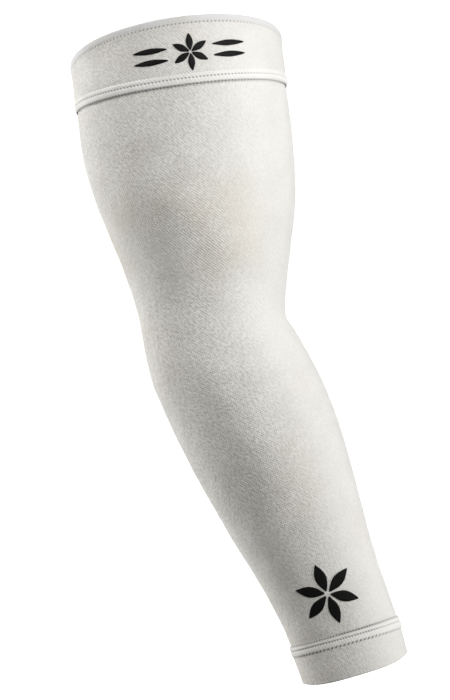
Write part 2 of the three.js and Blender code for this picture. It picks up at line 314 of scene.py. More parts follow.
def wrap_band(name, across, loop, place):
    """Cloth wrapped round the arm, meeting itself at the back. loop lists its wall's outline,
    down the outer face and back up the inner one, as shares of its height and its thickness;
    place turns those and the turn into a distance along the arm and how far out it is.
    UV map Cloth is in metres round and along the arm; Sewing is the share of the turn and
    metres below the band's own top."""
    loop = np.array(loop)
    band, spots = cloth_grid(name, across, len(loop))
    turn = spots[:, 0] * 2 * math.pi - math.pi / 2
    corner = np.rint(spots[:, 1] * len(loop)).astype(int) % len(loop)
    height, thickness = loop[corner, 0], loop[corner, 1]
    distance, out = place(turn, height, thickness)
    points = on_arm(distance, turn, out)
    set_points(band, points)
    top = place(turn, 0 * height, 0 * thickness)[0]
    set_uv(band, "Cloth", np.stack([arc_lengths(spots, points), distance], -1))
    set_uv(band, "Sewing", np.stack([spots[:, 0], distance - top], -1))
    finish_mesh(band, merge=1e-6)
    return band


def wall_loop(rows, inner_rows):
    """A wall's outline: rows down the outer face and fewer rows back up the inner one."""
    outer = [(share, 1.0) for share in np.linspace(0, 1, rows + 1)]
    inner = [(share, 0.0) for share in np.linspace(1, 0, inner_rows + 1)]
    return outer + inner


# Stitches round the arm in the hem's row, the upper seam's, the lower seam's and its lower edge
HEM_STITCHES = 172
SEAM_STITCHES = 188
WRIST_STITCHES = 120
WRIST_EDGE_STITCHES = 84

# The soft forms of each cloth: height, size and seed
TUBE_FORMS = ((0.00035, 0.034, 1), (0.00022, 0.012, 2), (0.00005, 0.004, 3))
UPPER_CUFF_FORMS = ((0.0003, 0.03, 4), (0.00012, 0.01, 5))
LOWER_CUFF_FORMS = ((0.00025, 0.022, 6), (0.0001, 0.008, 7))

# The tube of knit

SEAM_DIP = 0.0004
UPPER_DIP_SHARE = 1.2
UPPER_DIP_REACH = 0.0022
LOWER_DIP_SHARE = 0.6
LOWER_DIP_REACH = 0.003
PUCKER = 0.00012
PUCKER_REACH = 0.004

# Low ridges that muscle raises in front. The crest has its turn at one distance down the arm and
# slants by radians to the metre; each end is where the ridge is gone and where it is full
MuscleRidge = namedtuple("MuscleRidge", "height turn at slant spread upper_end lower_end")
BICEPS = MuscleRidge(
    height=0.0018, turn=math.radians(101), at=0.1, slant=15.0, spread=0.42,
    upper_end=(0.065, 0.1), lower_end=(0.155, 0.125),
)
FOREARM = MuscleRidge(
    height=0.0016, turn=math.radians(104), at=0.2, slant=3.0, spread=0.28,
    upper_end=(0.175, 0.205), lower_end=(0.31, 0.26),
)


def muscle_relief(distance, turn, muscle):
    """How high one muscle lifts the cloth."""
    crest = muscle.turn - muscle.slant * (distance - muscle.at)
    ends = soft_step(distance, *muscle.upper_end) * soft_step(distance, *muscle.lower_end)
    return muscle.height * (fading(turn - crest, muscle.spread) * ends)


def tube_surface(distance, turn):
    """How far out the tube's face is: uneven, lifted by the muscles and dipping into the stitches
    at each end, with a pucker to each stitch at the lower one."""
    uneven = unevenness(distance, turn, TUBE_FORMS)
    muscles = muscle_relief(distance, turn, BICEPS) + muscle_relief(distance, turn, FOREARM)
    above = distance - (upper_seam_at(turn) + SEAM_WIDTH)
    below = lower_seam_at(turn) - distance
    dip = UPPER_DIP_SHARE * fading(above, UPPER_DIP_REACH) + LOWER_DIP_SHARE * fading(below, LOWER_DIP_REACH)
    pucker = PUCKER * np.sin(turn * WRIST_STITCHES) * fading(below, PUCKER_REACH)
    relief = uneven + muscles - SEAM_DIP * dip + pucker
    return BODY_WALL + relief


def tube_place(turn, height, thickness):
    distance = upper_seam_at(turn) + height * (lower_seam_at(turn) + SEAM_WIDTH - upper_seam_at(turn))
    return distance, thickness * tube_surface(distance, turn)


tube_loop = wall_loop(rows=224, inner_rows=60)
sleeve_cloth = wrap_band("sleeve_cloth", across=200, loop=tube_loop, place=tube_place)

# The upper cuff and its hem

HEM_FOLD = 0.00035
HEM_FOLD_REACH = 0.003
CUFF_DIP = 0.0002
UPPER_CUFF_DIP_REACH = 0.0012
HEM_PULL = 0.0001
HEM_THINNING = 0.0002
HEM_FACES_PER_STITCH = 6
HEM_CORNERS = 32


def upper_cuff_top(turn):
    return rim_at(turn) + HEM_HEIGHT - TUCK


def upper_cuff_end(turn):
    return upper_seam_at(turn) + TUCK


def upper_cuff_surface(distance, turn):
    """How far out the cuff's face is: a little fuller under the hem and thinner at the seam."""
    uneven = unevenness(distance, turn, UPPER_CUFF_FORMS)
    folded = HEM_FOLD * fading(distance - upper_cuff_top(turn), HEM_FOLD_REACH)
    sewn = CUFF_DIP * fading(upper_cuff_end(turn) - distance, UPPER_CUFF_DIP_REACH)
    return CUFF_WALL + uneven + folded - sewn


def upper_cuff_place(turn, height, thickness):
    top = upper_cuff_top(turn)
    distance = top + height * (upper_cuff_end(turn) - top)
    return distance, thickness * upper_cuff_surface(distance, turn)


def hem_place(turn, height, thickness):
    """The hem's strip, thinner and with its outer face pulled in by each stitch lower down."""
    distance = rim_at(turn) + height * HEM_HEIGHT
    pull = HEM_PULL * np.cos(turn * HEM_STITCHES) * height**6
    return distance, thickness * (HEM_WALL - HEM_THINNING * height**3) - pull * (thickness > 0.5)


def hem_loop():
    """A box with well rounded corners, as the outline of the rolled strip."""
    angles = np.linspace(0, 2 * math.pi, HEM_CORNERS, endpoint=False)
    return [(0.5 - 0.5 * rounded(math.cos(a), 0.5), 0.5 + 0.5 * rounded(math.sin(a), 0.4)) for a in angles]


upper_cuff_loop = wall_loop(rows=56, inner_rows=14)
upper_cuff = wrap_band("upper_cuff_cloth", across=288, loop=upper_cuff_loop, place=upper_cuff_place)
hem_faces = HEM_FACES_PER_STITCH * HEM_STITCHES
upper_hem = wrap_band("upper_hem_roll", across=hem_faces, loop=hem_loop(), place=hem_place)

# The seams between the cuffs and the tube

LAP = BODY_WALL + SEWING_GAP
LOWER_SEAM_WIDTH = 0.0071
UPPER_ROW = 0.45
LOWER_ROW = 0.41
PUFF_RISE = 0.0006
PUFF_SHARE = 0.4
RIB_RISE = 0.00008
RIB_SLANT = 3
SEAM_SINK = 0.0001
HOLE_DEPTH = 0.00045
SEAM_FACES_PER_STITCH = 10


def lower_ridges_at(turn):
    """The top of the lower seam's ridges, which end where its lap does."""
    return lower_seam_at(turn) + SEAM_WIDTH - LOWER_SEAM_WIDTH


def seam_place(top_at, width, middle, stitches, tube_above):
    """Two puffed ridges between three rows of stitches, with a slanted rib to each stitch, lying
    down onto the tube on its side. middle is how far down the band the middle row lies."""

    def place(turn, height, thickness):
        distance = top_at(turn) + height * width
        to_tube = 1 - height if tube_above else height
        base = CUFF_WALL - (CUFF_WALL - LAP - SEAM_SINK) * to_tube**3
        upper_share = np.clip(height / middle, 0, 1)
        lower_share = np.clip((height - middle) / (1 - middle), 0, 1)
        puff = (np.sin(math.pi * upper_share) + np.sin(math.pi * lower_share)) ** 0.7
        full = (1 - PUFF_SHARE) * (1 - np.abs(2 * height - 1) ** 6) + PUFF_SHARE * puff
        rib = np.cos(turn * stitches + math.pi * (1 + RIB_SLANT * height))
        hole = (0.5 + 0.5 * np.cos(turn * stitches)) ** 1.5
        out = base - SEAM_SINK + PUFF_RISE * full
        out = out + RIB_RISE * rib * puff - HOLE_DEPTH * hole * np.clip(1 - 1.6 * puff, 0, 1)
        return distance, LAP + thickness * (out - LAP)

    return place


seam_loop = wall_loop(rows=24, inner_rows=2)
upper_seam = wrap_band(
    "upper_seam_ridges", across=SEAM_FACES_PER_STITCH * SEAM_STITCHES, loop=seam_loop,
    place=seam_place(upper_seam_at, SEAM_WIDTH, UPPER_ROW, SEAM_STITCHES, tube_above=False),
)
lower_seam = wrap_band(
    "lower_seam_ridges", across=SEAM_FACES_PER_STITCH * WRIST_STITCHES, loop=seam_loop,
    place=seam_place(lower_ridges_at, LOWER_SEAM_WIDTH, LOWER_ROW, WRIST_STITCHES, tube_above=True),
)

# The lower cuff

LOWER_CUFF_DIP_REACH = 0.0014
FOLD_START = 0.95
FOLD_ROUNDING = 0.04
FOLD_END_ANGLE = 0.2


def lower_cuff_place(turn, height, thickness):
    """The doubled band from the seam down to its folded edge."""
    top = lower_seam_at(turn) + SEAM_WIDTH - TUCK
    distance = top + height * (edge_at(turn) - top)
    uneven = unevenness(distance, turn, LOWER_CUFF_FORMS)
    sewn = CUFF_DIP * fading(distance - top, LOWER_CUFF_DIP_REACH)
    return distance, thickness * (CUFF_WALL + uneven - sewn)


def folded_loop(rows, inner_rows, fold_rows):
    """A wall's outline with a round fold at its lower edge."""
    outer = [(share, 1.0) for share in np.linspace(0, FOLD_START, rows + 1)]
    angles = np.linspace(FOLD_END_ANGLE, math.pi - FOLD_END_ANGLE, fold_rows)
    fold = [(1 - FOLD_ROUNDING * (1 - math.sin(a)), 0.5 + 0.5 * math.cos(a)) for a in angles]
    inner = [(share, 0.0) for share in np.linspace(FOLD_START, 0, inner_rows + 1)]
    return outer + fold + inner


lower_cuff_loop = folded_loop(rows=40, inner_rows=11, fold_rows=7)
lower_cuff = wrap_band("lower_cuff_cloth", across=240, loop=lower_cuff_loop, place=lower_cuff_place)

# Stitches

STITCH_LENGTH = 0.0013
SEAM_STITCH_SHARE = 0.7
THREAD_RADIUS = 0.00017
THREAD_SIDES = 6
STITCH_CUTS = (-0.6, -0.2, 0.2, 0.6)
END_THINNING = 0.72
END_DROP = 1.4

# Rows of stitches: how far each is below its line, and how far out
HEM_ROW = (HEM_HEIGHT + SEWING_GAP + 0.0003, CUFF_WALL - 0.00045)
TUBE_ROW_BELOW = 0.0005
UPPER_ROWS = (
    (UPPER_ROW * SEAM_WIDTH, CUFF_WALL + 0.00015),
    (SEAM_WIDTH + TUBE_ROW_BELOW, BODY_WALL - 0.0005),
)
LOWER_ROWS = (
    (-0.13 * SEAM_WIDTH, BODY_WALL + 0.0001),
    (0.34 * SEAM_WIDTH, CUFF_WALL - 0.0002),
    (SEAM_WIDTH, CUFF_WALL - 0.0002),
)


def thread_stitch(length, radius):
    """One stitch of thread, arched, its ends turned down into the cloth. It runs along X."""
    bpy.ops.object.select_all(action="DESELECT")
    bpy.ops.mesh.primitive_cylinder_add(
        vertices=THREAD_SIDES, radius=radius, depth=length, end_fill_type="TRIFAN",
        location=(0, 0, 0), rotation=(0, math.pi / 2, 0),
    )
    stitch = bpy.context.object
    select_only(stitch)
    bpy.ops.object.transform_apply(location=True, rotation=True, scale=True)
    bpy.ops.object.mode_set(mode="EDIT")
    for share in STITCH_CUTS:
        bpy.ops.mesh.select_all(action="SELECT")
        bpy.ops.mesh.bisect(plane_co=(share * length / 2, 0, 0), plane_no=(1, 0, 0))
    bpy.ops.object.mode_set(mode="OBJECT")
    for vertex in stitch.data.vertices:
        share = vertex.co.x / (length / 2)
        taper = math.sqrt(1 - END_THINNING * share * share)
        vertex.co.y *= taper
        vertex.co.z = vertex.co.z * taper - END_DROP * radius * share**4
    return stitch


def stitch_row(stitch, count, line_at, below, out):
    """Copies of a stitch all the way round the arm, so far below a line on it and so far out."""
    mesh = stitch.data
    spots = np.empty(len(mesh.vertices) * 3)
    mesh.vertices.foreach_get("co", spots)
    spots = spots.reshape(-1, 3)
    faces = [list(polygon.vertices) for polygon in mesh.polygons]
    turn = (np.arange(count) + 0.5) / count * 2 * math.pi
    ahead = turn + TURN_STEP / 2
    distance = line_at(turn) + below
    place = on_arm(distance, turn, out)
    along = on_arm(line_at(ahead) + below, ahead, out) - place
    along /= np.linalg.norm(along, axis=1, keepdims=True)
    up = on_arm(distance, turn, out + OUT_STEP) - place
    up -= along * np.sum(up * along, axis=1, keepdims=True)
    up /= np.linalg.norm(up, axis=1, keepdims=True)
    side = np.cross(up, along)
    points = (
        place[:, None]
        + along[:, None] * spots[None, :, :1]
        + side[:, None] * spots[None, :, 1:2]
        + up[:, None] * spots[None, :, 2:]
    )
    row = bpy.data.meshes.new("stitch_row")
    all_faces = [[v + n * len(spots) for v in face] for n in range(count) for face in faces]
    row.from_pydata(points.reshape(-1, 3).tolist(), [], all_faces)
    piece = bpy.data.objects.new("stitch_row", row)
    bpy.context.scene.collection.objects.link(piece)
    return piece


def stitch_rows(name, stitch, count, line_at, rows):
    return join_pieces(name, [stitch_row(stitch, count, line_at, below, out) for below, out in rows])


stitch = thread_stitch(STITCH_LENGTH, THREAD_RADIUS)
hem_stitches = stitch_rows("hem_stitches", stitch, HEM_STITCHES, rim_at, [HEM_ROW])
stitch.scale = (SEAM_STITCH_SHARE, 1, 1)
select_only(stitch)
bpy.ops.object.transform_apply(location=True, rotation=True, scale=True)
upper_stitches = stitch_rows("upper_seam_stitches", stitch, SEAM_STITCHES, upper_seam_at, UPPER_ROWS)
lower_stitches = stitch_rows("lower_seam_stitches", stitch, WRIST_STITCHES, lower_seam_at, LOWER_ROWS)
bpy.data.objects.remove(stitch)

# Printed rosettes and strokes

PETALS = 6
CUFF_ROSETTE = 0.021
WRIST_ROSETTE = 0.035
STROKE_LENGTH = 0.019
STROKE_WIDTH = 0.003
STROKE_SPACING = 0.0065
CUFF_TURN = math.radians(82)
WRIST_TURN = math.radians(91)
CUFF_PRINT_DROP = 0.0025
WRIST_PRINT_HEIGHT = 0.048
PRINT_LIFT = 0.00006
PRINT_THICKNESS = 0.00018
PRINT_DEPTH = 0.00035
BLUNT_TIP = 0.004
EDGE_STEEPNESS = 5
TIP_STEEPNESS = 8

# Shares of a rosette's diameter
HUB_SHARE = 0.05
PETAL_WIDTH_SHARE = 0.17
STROKE_START_SHARE = 0.62


def printed_leaf(name, middle, start, length, width, lean, sideways, cloth):
    """A pointed leaf of print on the cloth, along a line from the middle at an angle."""
    middle_distance, middle_turn = middle
    either_side = on_arm(middle_distance, middle_turn + np.array([-TURN_STEP, TURN_STEP]), 0)
    per_turn = np.linalg.norm(either_side[1] - either_side[0]) / (2 * TURN_STEP)
    leaf, spots = cloth_grid(name, across=40, along=12)
    run = start + spots[:, 0] * length
    half = np.sin(math.pi * np.clip(spots[:, 0], BLUNT_TIP, 1 - BLUNT_TIP)) * width / 2
    off = sideways + (spots[:, 1] * 2 - 1) * half
    round_arm = run * math.sin(lean) + off * math.cos(lean)
    down = -run * math.cos(lean) + off * math.sin(lean)
    distance = middle_distance + down
    turn = middle_turn - round_arm / per_turn
    edge = np.clip(1 - np.abs(spots[:, 1] * 2 - 1), 0, 1) * np.clip(half / width * TIP_STEEPNESS, 0, 1)
    out = cloth(distance, turn) + PRINT_LIFT + PRINT_THICKNESS * np.minimum(edge * EDGE_STEEPNESS, 1)
    set_points(leaf, on_arm(distance, turn, out))
    select_only(leaf)
    thick = leaf.modifiers.new("thickness", "SOLIDIFY")
    thick.thickness = PRINT_DEPTH
    thick.offset = -1
    bpy.ops.object.modifier_apply(modifier=thick.name)
    return leaf


def rosette(name, middle, diameter, cloth):
    """Petals round a middle, as one piece."""
    hub = diameter * HUB_SHARE
    petals = [
        printed_leaf(
            f"petal_{i}", middle, start=hub, length=diameter / 2 - hub, width=diameter * PETAL_WIDTH_SHARE,
            lean=i * 2 * math.pi / PETALS, sideways=0, cloth=cloth,
        )
        for i in range(PETALS)
    ]
    return join_pieces(name, petals)


def strokes(name, middle, cloth):
    """A pair of strokes on each side of the cuff's rosette, as one piece."""
    start = CUFF_ROSETTE * STROKE_START_SHARE
    leaves = [
        printed_leaf(
            "stroke", middle, start=start, length=STROKE_LENGTH, width=STROKE_WIDTH,
            lean=side * math.pi / 2, sideways=row * STROKE_SPACING / 2, cloth=cloth,
        )
        for side in (-1, 1)
        for row in (-1, 1)
    ]
    return join_pieces(name, leaves)


cuff_centre = (rim_at(CUFF_TURN) + HEM_HEIGHT + upper_seam_at(CUFF_TURN)) / 2
cuff_middle = (cuff_centre + CUFF_PRINT_DROP, CUFF_TURN)
wrist_middle = (SLEEVE_LENGTH - WRIST_PRINT_HEIGHT, WRIST_TURN)
cuff_rosette = rosette("cuff_rosette", cuff_middle, CUFF_ROSETTE, upper_cuff_surface)
wrist_rosette = rosette("wrist_rosette", wrist_middle, WRIST_ROSETTE, tube_surface)
cuff_strokes = strokes("cuff_strokes", cuff_middle, upper_cuff_surface)

# Materials

YARN = (0.88, 0.871, 0.84, 1)
HEM_YARN = (0.81, 0.813, 0.82, 1)
# Paler yarn of the seam ridges: partly their own colour, partly a painted highlight where they stand out
# into the light
RIDGE_YARN_AND_HIGHLIGHT = (0.95, 0.94, 0.915, 1)
# Painted shade: the colour that the knit darkens to between its stitches and in its mottled patches
GAP_SHADE = (0.5, 0.475, 0.425, 1)
# Painted shade in the needle holes and along the rows of sewing
HOLE_SHADE = (0.07, 0.065, 0.06, 1)
CREAM_CAST = (0.93, 0.895, 0.82, 1)
THREAD = (0.7, 0.685, 0.65, 1)
PALE_THREAD = (0.88, 0.87, 0.84, 1)
INK = (0.002, 0.002, 0.002, 1)
PALE_INK = (0.006, 0.006, 0.005, 1)
STITCHES_PER_METRE = 545

# The knit's rows, dapples, fuzz, mottled painted shade and cast
LEAST_CROSSING = 0.2
MOST_CROSSING = 0.75
ROW_DEPTH = 0.3
CLEARER_ABOVE_ELBOW = 0.14
DEEPER_BELOW_ELBOW = 0.4
DAPPLES_PER_FALLING_ROW = 0.9
DAPPLES_PER_RISING_ROW = 0.55
FUZZ = 0.6
MOTTLED_SHADE = 0.21
CAST = 0.3
MORE_CAST_ABOVE_ELBOW = 0.35

# Stretches of the sleeve, in metres down it: where each starts, is full, fades and ends
ABOVE_ELBOW = (0.07, 0.115, 0.125, 0.155)
BELOW_ELBOW = (0.14, 0.17, 0.26, 0.31)


def new_group(name, inputs, outputs):
    """A node group, the sockets that it is given and the sockets that it fills."""
    group = bpy.data.node_groups.new(name, "ShaderNodeTree")
    for label, kind, value in inputs:
        socket = group.interface.new_socket(label, in_out="INPUT", socket_type=kind)
        socket.default_value = value
    for label, kind in outputs:
        group.interface.new_socket(label, in_out="OUTPUT", socket_type=kind)
    return group, group.nodes.new("NodeGroupInput").outputs, group.nodes.new("NodeGroupOutput").inputs


class Nodes:
    """Shorthand for wiring one node tree. A value is a socket or a number."""

    def __init__(self, tree):
        self.tree = tree

    def add(self, kind, **settings):
        node = self.tree.nodes.new(kind)
        for key, value in settings.items():
            setattr(node, key, value)
        return node

    def feed(self, socket, value):
        if isinstance(value, bpy.types.NodeSocket):
            self.tree.links.new(value, socket)
        else:
            socket.default_value = value

    def use(self, group, settings):
        """Another group as a node, its inputs set by their labels."""
        node = self.add("ShaderNodeGroup", node_tree=group)
        for label, value in settings.items():
            node.inputs[label].default_value = value
        return node.outputs

    def place(self):
        return self.add("ShaderNodeTexCoord").outputs["Object"]

    def map_parts(self, name):
        """The two values of a UV map."""
        parts = self.add("ShaderNodeSeparateXYZ")
        self.feed(parts.inputs[0], self.add("ShaderNodeUVMap", uv_map=name).outputs["UV"])
        return parts.outputs["X"], parts.outputs["Y"]

    def math(self, operation, *values):
        node = self.add("ShaderNodeMath", operation=operation)
        for socket, value in zip(node.inputs, values):
            self.feed(socket, value)
        return node.outputs[0]

    def times(self, first, *others):
        for value in others:
            first = self.math("MULTIPLY", first, value)
        return first

    def plus(self, first, *others):
        for value in others:
            first = self.math("ADD", first, value)
        return first

    def wave(self, operation, turns):
        """The sine or cosine of a number of whole turns."""
        return self.math(operation, self.times(turns, 2 * math.pi))

    def noise(self, vector, scale, detail=2.0, roughness=0.5):
        node = self.add("ShaderNodeTexNoise")
        self.feed(node.inputs["Vector"], vector)
        node.inputs["Scale"].default_value = scale
        node.inputs["Detail"].default_value = detail
        node.inputs["Roughness"].default_value = roughness
        return node.outputs["Fac"]

    def swing(self, vector, scale, detail, strength, roughness=0.5):
        """Noise that goes as far below 0 as above it."""
        return self.times(self.math("SUBTRACT", self.noise(vector, scale, detail, roughness), 0.5), strength)

    def span(self, value, low, high, to_low=0.0, to_high=1.0):
        """Smoothly from to_low, where the value is low, to to_high, where it is high."""
        node = self.add("ShaderNodeMapRange")
        node.interpolation_type = "SMOOTHSTEP"
        self.feed(node.inputs["Value"], value)
        for label, number in zip(("From Min", "From Max", "To Min", "To Max"), (low, high, to_low, to_high)):
            node.inputs[label].default_value = number
        return node.outputs["Result"]

    def between(self, value, start, full, fades, end):
        """1 from full to fades, and smoothly down to 0 at start and end."""
        return self.times(self.span(value, start, full), self.span(value, end, fades))

    def mix_value(self, factor, a, b):
        node = self.add("ShaderNodeMix", data_type="FLOAT")
        for socket, value in zip((node.inputs[0], node.inputs[2], node.inputs[3]), (factor, a, b)):
            self.feed(socket, value)
        return node.outputs[0]

    def mix_colour(self, factor, a, b, blend="MIX"):
        node = self.add("ShaderNodeMix", data_type="RGBA", blend_type=blend)
        for socket, value in zip((node.inputs[0], node.inputs[6], node.inputs[7]), (factor, a, b)):
            self.feed(socket, value)
        return node.outputs[2]

    def bump(self, height, distance, strength=1.0):
        node = self.add("ShaderNodeBump")
        node.inputs["Strength"].default_value = strength
        node.inputs["Distance"].default_value = distance
        self.feed(node.inputs["Height"], height)
        return node.outputs["Normal"]


def knit_rows(nodes, given, place, to_crook, above_elbow):
    """Rows of stitches that fall and rise across each other, and dapples one or two rows wide.
    The rows lie closer below the elbow and are clearest above it."""
    round_arm, down_arm = nodes.map_parts("Cloth")
    closer = nodes.span(down_arm, 0.14, 0.24, to_low=1.0, to_high=1.22)
    wander = nodes.swing(place, scale=70.0, detail=3.0, strength=1.2)
    jitter = nodes.swing(place, scale=420.0, detail=2.0, strength=0.7)
    around = nodes.plus(nodes.times(round_arm, given["Stitches"], closer), wander, jitter)
    along = nodes.times(down_arm, given["Stitches"])
    falling = nodes.plus(along, around)
    rising = nodes.math("SUBTRACT", along, around)
    uneven = nodes.swing(place, scale=24.0, detail=3.0, strength=0.6)
    crossing = nodes.span(to_crook, 0.2, -0.5, to_low=0.42, to_high=0.55)
    crossing = nodes.plus(crossing, uneven, given["Rising"])
    crossing = nodes.math("MINIMUM", nodes.math("MAXIMUM", crossing, LEAST_CROSSING), MOST_CROSSING)
    rows = nodes.mix_value(crossing, nodes.wave("SINE", falling), nodes.wave("SINE", rising))
    clear = nodes.times(nodes.noise(place, scale=260.0), ROW_DEPTH)
    clear = nodes.plus(nodes.times(above_elbow, CLEARER_ABOVE_ELBOW), clear)
    spread = nodes.add("ShaderNodeCombineXYZ")
    nodes.feed(spread.inputs["X"], nodes.times(falling, DAPPLES_PER_FALLING_ROW))
    nodes.feed(spread.inputs["Y"], nodes.times(rising, DAPPLES_PER_RISING_ROW))
    dapples = nodes.swing(spread.outputs[0], scale=1.0, detail=2.0, strength=given["Dapple"])
    return nodes.times(rows, clear), dapples


def knit_colour(nodes, given, place, relief, to_crook, to_back, above_elbow):
    """Yarn with painted shade between its stitches and in soft mottled patches, and a cream cast that
    is strongest above the elbow and faint behind. The painted shade is weaker towards the crook."""
    # Painted shade in the hollows between the stitches, weaker towards the crook
    gap = nodes.times(nodes.span(relief, 0.25, -0.35), given["Gap Shade Depth"])
    gap = nodes.times(gap, nodes.span(to_crook, 0.74, -0.2, to_low=0.27))
    colour = nodes.mix_colour(gap, given["Yarn"], given["Gap Shade"])
    # Soft patches of painted shade, standing in for light on the cloth's unevenness, weaker towards the
    # crook
    mottled_shade = nodes.span(nodes.noise(place, scale=60.0, detail=3.0), 0.3, 0.7, to_high=MOTTLED_SHADE)
    mottled_shade = nodes.times(mottled_shade, nodes.span(to_crook, 0.7, -0.1, to_low=0.4))
    colour = nodes.mix_colour(mottled_shade, colour, given["Gap Shade"])
    cast = nodes.span(nodes.noise(place, scale=16.0, detail=2.0), 0.4, 0.65)
    cast = nodes.times(cast, nodes.plus(nodes.times(above_elbow, MORE_CAST_ABOVE_ELBOW), CAST))
    cast = nodes.times(cast, nodes.span(to_back, 0.3, -0.4, to_low=0.2))
    return nodes.mix_colour(cast, colour, CREAM_CAST, "MULTIPLY")


def knit_group():
    """Fine diagonal rows of stitches, crossing more at the elbow's side and stretched flat towards
    the crook, with soft dapples and a little fuzz, and painted shade in the colour between the
    stitches and in soft patches. Stitches is how many there are to a metre, and Rising adds to the
    share of the rows that rise."""
    group, given, made = new_group(
        "knit",
        [
            ("Yarn", "NodeSocketColor", YARN),
            ("Gap Shade", "NodeSocketColor", GAP_SHADE),
            ("Stitches", "NodeSocketFloat", STITCHES_PER_METRE),
            ("Gap Shade Depth", "NodeSocketFloat", 0.4),
            ("Dapple", "NodeSocketFloat", 1.0),
            ("Rising", "NodeSocketFloat", 0.0),
        ],
        [("Colour", "NodeSocketColor"), ("Height", "NodeSocketFloat")],
    )
    nodes = Nodes(group)
    place = nodes.place()
    share_of_turn = nodes.map_parts("Sewing")[0]
    to_crook = nodes.wave("SINE", share_of_turn)
    to_back = nodes.wave("COSINE", share_of_turn)
    down_arm = nodes.map_parts("Cloth")[1]
    above_elbow = nodes.between(down_arm, *ABOVE_ELBOW)
    below_elbow = nodes.between(down_arm, *BELOW_ELBOW)
    rows, dapples = knit_rows(nodes, given, place, to_crook, above_elbow)
    fuzz = nodes.swing(place, scale=1300.0, detail=3.0, strength=FUZZ, roughness=0.7)
    relief = nodes.plus(rows, dapples, fuzz)
    relief = nodes.times(relief, nodes.plus(nodes.times(below_elbow, DEEPER_BELOW_ELBOW), 1.0))
    stretched = nodes.span(to_crook, 0.74, -0.1, to_low=0.34)
    colour = knit_colour(nodes, given, place, relief, to_crook, to_back, above_elbow)
    nodes.feed(made["Colour"], colour)
    nodes.feed(made["Height"], nodes.plus(0.5, nodes.times(relief, stretched)))
    return group


def sewing_shade_group():
    """Painted shade along a row of sewing across the cloth: 1 in each needle hole and less along the
    line between, weaker towards the crook and the elbow's side."""
    group, given, made = new_group(
        "needle_hole_shade",
        [
            ("Stitches", "NodeSocketFloat", 170.0),
            ("Row", "NodeSocketFloat", 0.0),
            ("Half Width", "NodeSocketFloat", 0.0005),
            ("Line", "NodeSocketFloat", 0.3),
            ("Slant", "NodeSocketFloat", 0.0),
        ],
        [("Mask", "NodeSocketFloat")],
    )
    nodes = Nodes(group)
    share_of_turn, below_top = nodes.map_parts("Sewing")
    away = nodes.math("DIVIDE", nodes.math("SUBTRACT", below_top, given["Row"]), given["Half Width"])
    row = nodes.span(nodes.math("ABSOLUTE", away), 1.0, 0.25)
    count = nodes.times(share_of_turn, given["Stitches"])
    count = nodes.plus(count, nodes.times(away, given["Slant"]))
    hole = nodes.span(nodes.wave("COSINE", count), -0.1, 0.8)
    hole = nodes.math("MAXIMUM", hole, given["Line"])
    to_crook = nodes.wave("SINE", share_of_turn)
    row = nodes.times(row, nodes.span(to_crook, -0.99, -0.72, to_low=0.35))
    row = nodes.times(row, nodes.span(to_crook, 0.85, 0.3, to_low=0.4))
    nodes.feed(made["Mask"], nodes.times(row, hole))
    return group


KNIT = knit_group()
# Painted shade along the rows of sewing
SEWING = sewing_shade_group()


def new_material(name):
    """A material with its node tree and its shader's inputs."""
    material = bpy.data.materials.new(name)
    material.use_nodes = True
    shader = material.node_tree.nodes["Principled BSDF"].inputs
    return material, Nodes(material.node_tree), shader


def needle_row(stitches, at, half_width, line, darkness, slant=0.0):
    """Painted shade in a row of needle holes: how many, how far down the band, half the row's width,
    how dark the line between the holes is, how dark it all is, and how far the holes lean."""
    settings = {"Stitches": stitches, "Row": at, "Half Width": half_width, "Line": line, "Slant": slant}
    return settings, darkness


def cloth_material(
    name,
    yarn=YARN,
    depth=0.72,
    bump=0.00046,
    dapple=1.0,
    stitches=STITCHES_PER_METRE,
    sewing=(),
    sheen=0.15,
    rising=0.0,
):
    """Knitted cloth, with painted shade between its stitches and in its rows of needle holes."""
    material, nodes, shader = new_material(name)
    settings = {"Yarn": yarn, "Gap Shade": GAP_SHADE, "Stitches": stitches, "Gap Shade Depth": depth}
    knit = nodes.use(KNIT, settings | {"Dapple": dapple, "Rising": rising})
    colour = knit["Colour"]
    # Painted shade in each row of needle holes
    for row, darkness in sewing:
        mask = nodes.use(SEWING, row)["Mask"]
        colour = nodes.mix_colour(nodes.times(mask, darkness), colour, HOLE_SHADE)
    nodes.feed(shader["Base Color"], colour)
    nodes.feed(shader["Normal"], nodes.bump(knit["Height"], bump))
    nodes.feed(shader["Roughness"], nodes.span(knit["Height"], 0.2, 0.8, to_low=0.95, to_high=0.82))
    shader["Specular IOR Level"].default_value = 0.25
    shader["Sheen Weight"].default_value = sheen
    shader["Sheen Roughness"].default_value = 0.5
    return material


def thread_material():
    """Twisted thread, lighter on its strands than between them."""
    material, nodes, shader = new_material("sewing_thread")
    twist = nodes.noise(nodes.place(), scale=2600.0)
    nodes.feed(shader["Base Color"], nodes.mix_colour(nodes.span(twist, 0.35, 0.65), THREAD, PALE_THREAD))
    nodes.feed(shader["Roughness"], nodes.span(twist, 0.3, 0.7, to_low=0.75, to_high=0.6))
    return material


def print_material():
    """Flat black transfer print with a fine grain."""
    material, nodes, shader = new_material("black_print")
    grain = nodes.noise(nodes.place(), scale=900.0, detail=3.0, roughness=0.6)
    nodes.feed(shader["Base Color"], nodes.mix_colour(nodes.span(grain, 0.3, 0.75), INK, PALE_INK))
    nodes.feed(shader["Roughness"], nodes.span(grain, 0.3, 0.7, to_low=0.6, to_high=0.45))
    nodes.feed(shader["Normal"], nodes.bump(grain, distance=0.0001, strength=0.7))
    shader["Specular IOR Level"].default_value = 0.15
    return material


# Where the rows of needle holes and their painted shade lie, down each band
TUBE_HOLES_AT = SEAM_WIDTH + TUBE_ROW_BELOW
EDGE_HOLES_IN = 0.0002
LOWER_HOLES_IN = 0.0003

